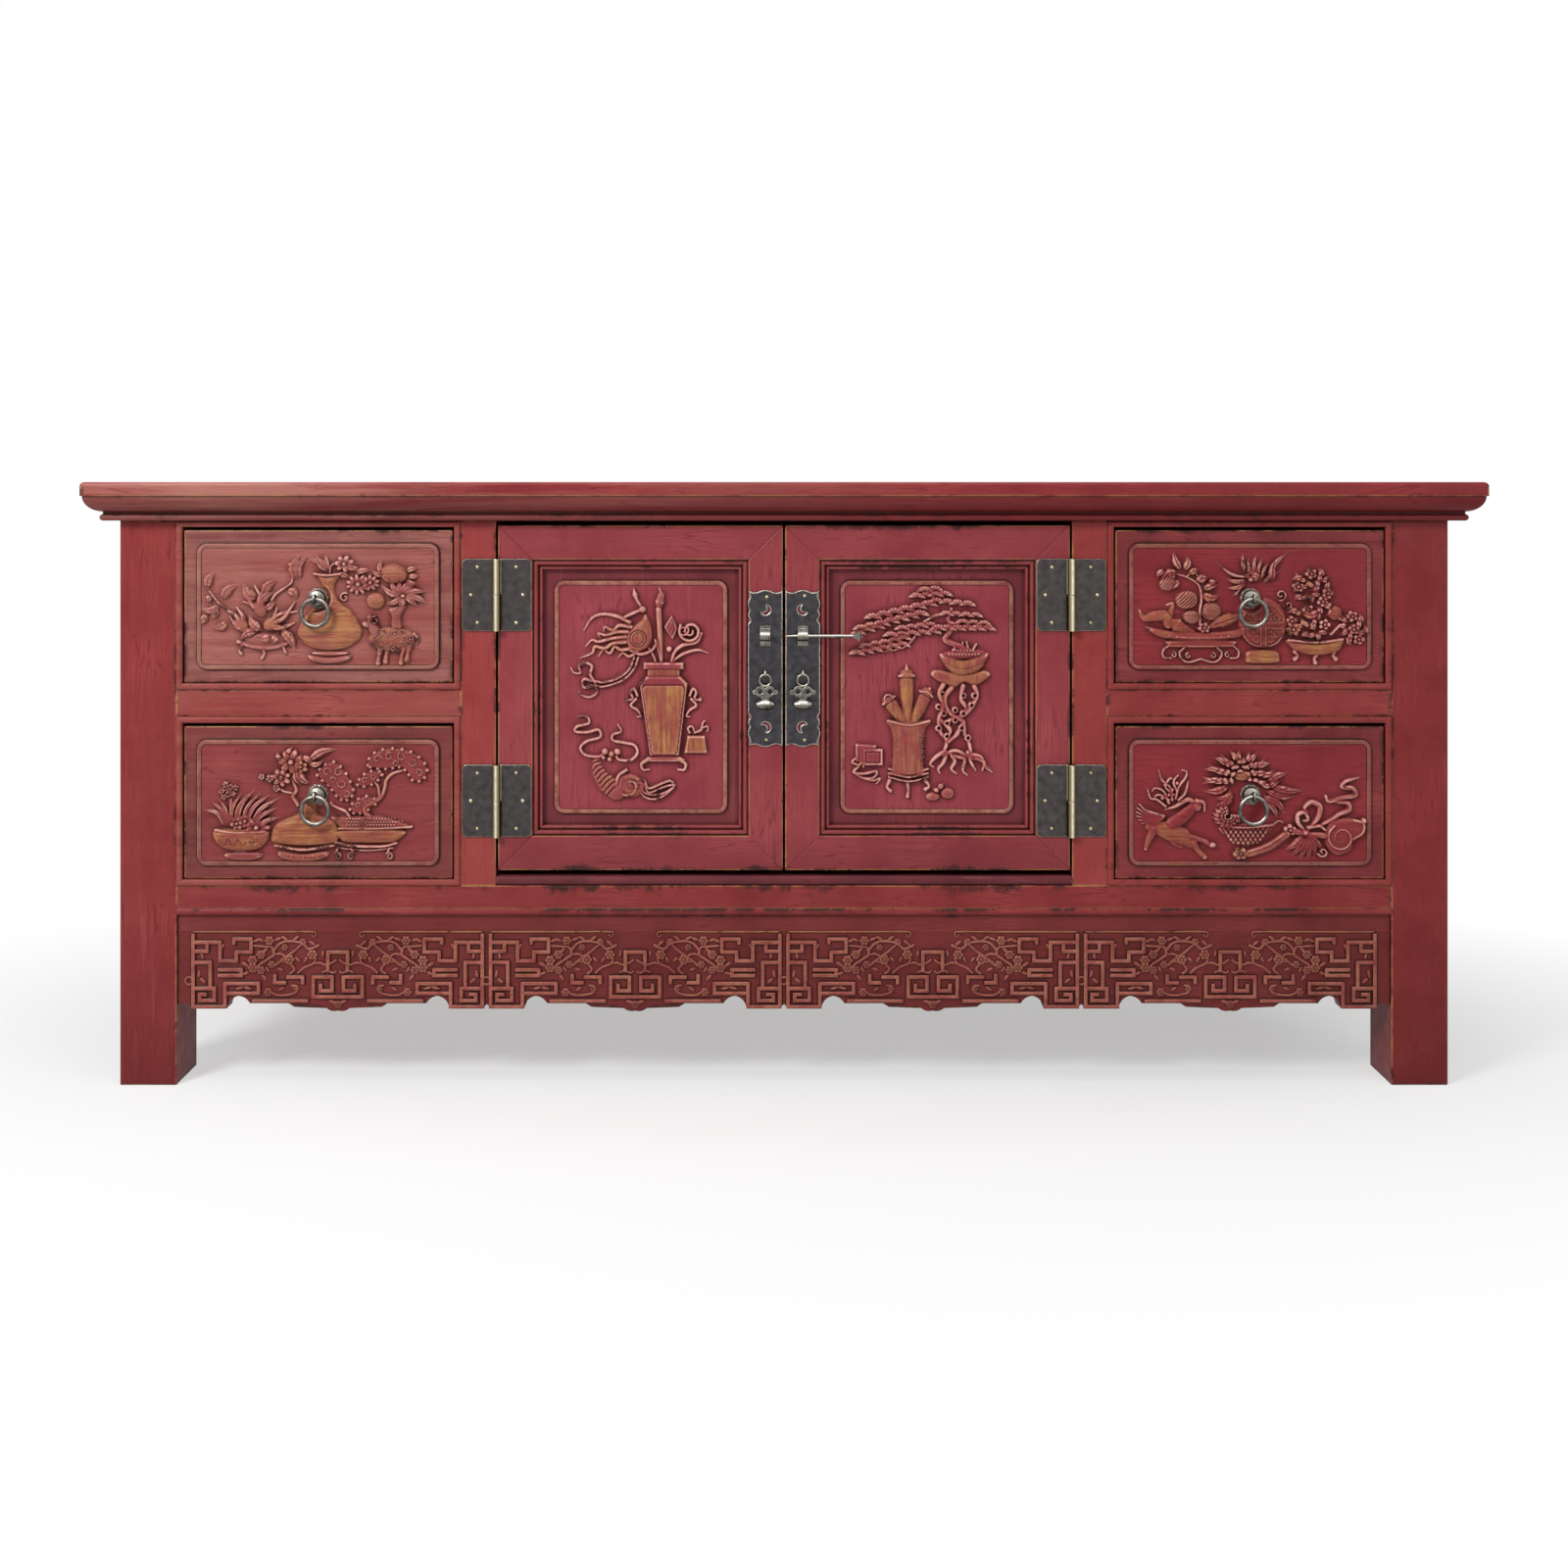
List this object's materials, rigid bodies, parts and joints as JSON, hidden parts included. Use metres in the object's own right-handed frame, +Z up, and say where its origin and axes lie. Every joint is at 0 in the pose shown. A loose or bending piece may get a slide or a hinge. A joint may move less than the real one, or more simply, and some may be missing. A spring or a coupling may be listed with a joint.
{
  "type": "console cabinet",
  "caption": "Low red lacquer console with ring-pull drawers at both ends, carved doors with a sliding bolt between them, and a scalloped carved apron.",
  "frame": {"origin": "on the floor, under the middle of the top", "axes": "+X along the width to the right, +Y to the back, +Z up; the front faces -Y"},
  "size_m": [1.7, 0.47, 0.738],
  "materials": {
    "red_lacquer": "worn lacquer",
    "raw_wood": "plain sawn",
    "dark_bronze": "dark patina",
    "old_brass": "aged"
  },
  "bodies": {
    "cabinet": {"top_front_rail": "red_lacquer", "top_back_rail": "red_lacquer", "top_left_end": "red_lacquer", "top_right_end": "red_lacquer", "leg_front_left": "red_lacquer", "leg_front_right": "red_lacquer", "leg_back_left": "red_lacquer", "leg_back_right": "red_lacquer", "stile_left": "red_lacquer", "stile_right": "red_lacquer", "drawer_rail_left": "red_lacquer", "drawer_rail_right": "red_lacquer", "bottom_rail_front": "red_lacquer", "door_sill": "red_lacquer", "drawer_opening_beads": "red_lacquer", "side_rails": "red_lacquer", "side_panel_left": "red_lacquer", "side_panel_right": "red_lacquer", "apron_front": "red_lacquer", "top_panel": "red_lacquer", "back_rails": "raw_wood", "back_panel": "raw_wood", "floor_board": "raw_wood", "partition_left": "raw_wood", "partition_right": "raw_wood", "drawer_runners": "raw_wood", "hinge_leaves_fixed": "dark_bronze", "hinge_pins": "old_brass"},
    "drawer_lower_left": {"drawer_lower_left_front": "red_lacquer", "drawer_lower_left_box": "raw_wood", "drawer_lower_left_pull": "old_brass"},
    "drawer_lower_left_ring": {"drawer_lower_left_ring": "old_brass"},
    "drawer_upper_left": {"drawer_upper_left_front": "red_lacquer", "drawer_upper_left_box": "raw_wood", "drawer_upper_left_pull": "old_brass"},
    "drawer_upper_left_ring": {"drawer_upper_left_ring": "old_brass"},
    "door_left": {"door_left_stiles": "red_lacquer", "door_left_rails": "red_lacquer", "door_left_panel": "red_lacquer", "door_left_hinge_leaves": "dark_bronze", "door_left_lock_plate": "dark_bronze", "door_left_staples": "old_brass"},
    "door_left_pendant": {"door_left_pendant": "old_brass"},
    "drawer_lower_right": {"drawer_lower_right_front": "red_lacquer", "drawer_lower_right_box": "raw_wood", "drawer_lower_right_pull": "old_brass"},
    "drawer_lower_right_ring": {"drawer_lower_right_ring": "old_brass"},
    "drawer_upper_right": {"drawer_upper_right_front": "red_lacquer", "drawer_upper_right_box": "raw_wood", "drawer_upper_right_pull": "old_brass"},
    "drawer_upper_right_ring": {"drawer_upper_right_ring": "old_brass"},
    "door_right": {"door_right_stiles": "red_lacquer", "door_right_rails": "red_lacquer", "door_right_panel": "red_lacquer", "door_right_hinge_leaves": "dark_bronze", "door_right_lock_plate": "dark_bronze", "door_right_staples": "old_brass"},
    "door_right_pendant": {"door_right_pendant": "old_brass"},
    "bolt": {"bolt": "old_brass"}
  },
  "joints": [
    {"name": "drawer_lower_left_slide", "type": "slide", "parent": "cabinet", "child": "drawer_lower_left", "axis": [0, -1, 0], "range_m": [0, 0.25]},
    {"name": "drawer_lower_left_ring_swing", "type": "hinge", "parent": "drawer_lower_left", "child": "drawer_lower_left_ring", "pos_m": [-0.57, -0.222, 0.3553], "axis": [-1, 0, 0], "range_deg": [0, 100]},
    {"name": "drawer_upper_left_slide", "type": "slide", "parent": "cabinet", "child": "drawer_upper_left", "axis": [0, -1, 0], "range_m": [0, 0.25]},
    {"name": "drawer_upper_left_ring_swing", "type": "hinge", "parent": "drawer_upper_left", "child": "drawer_upper_left_ring", "pos_m": [-0.57, -0.222, 0.5953], "axis": [-1, 0, 0], "range_deg": [0, 100]},
    {"name": "door_left_swing", "type": "hinge", "parent": "cabinet", "child": "door_left", "pos_m": [-0.3515, -0.2103, 0.474], "axis": [0, 0, -1], "range_deg": [0, 95]},
    {"name": "door_left_pendant_swing", "type": "hinge", "parent": "door_left", "child": "door_left_pendant", "pos_m": [-0.023, -0.2146, 0.5031], "axis": [-1, 0, 0], "range_deg": [0, 80]},
    {"name": "drawer_lower_right_slide", "type": "slide", "parent": "cabinet", "child": "drawer_lower_right", "axis": [0, -1, 0], "range_m": [0, 0.25]},
    {"name": "drawer_lower_right_ring_swing", "type": "hinge", "parent": "drawer_lower_right", "child": "drawer_lower_right_ring", "pos_m": [0.57, -0.222, 0.3553], "axis": [-1, 0, 0], "range_deg": [0, 100]},
    {"name": "drawer_upper_right_slide", "type": "slide", "parent": "cabinet", "child": "drawer_upper_right", "axis": [0, -1, 0], "range_m": [0, 0.25]},
    {"name": "drawer_upper_right_ring_swing", "type": "hinge", "parent": "drawer_upper_right", "child": "drawer_upper_right_ring", "pos_m": [0.57, -0.222, 0.5953], "axis": [-1, 0, 0], "range_deg": [0, 100]},
    {"name": "door_right_swing", "type": "hinge", "parent": "cabinet", "child": "door_right", "pos_m": [0.3515, -0.2103, 0.474], "axis": [0, 0, 1], "range_deg": [0, 95]},
    {"name": "door_right_pendant_swing", "type": "hinge", "parent": "door_right", "child": "door_right_pendant", "pos_m": [0.023, -0.2146, 0.5031], "axis": [-1, 0, 0], "range_deg": [0, 80]},
    {"name": "bolt_slide", "type": "slide", "parent": "door_right", "child": "bolt", "axis": [-1, 0, 0], "range_m": [0, 0.053]}
  ]
}
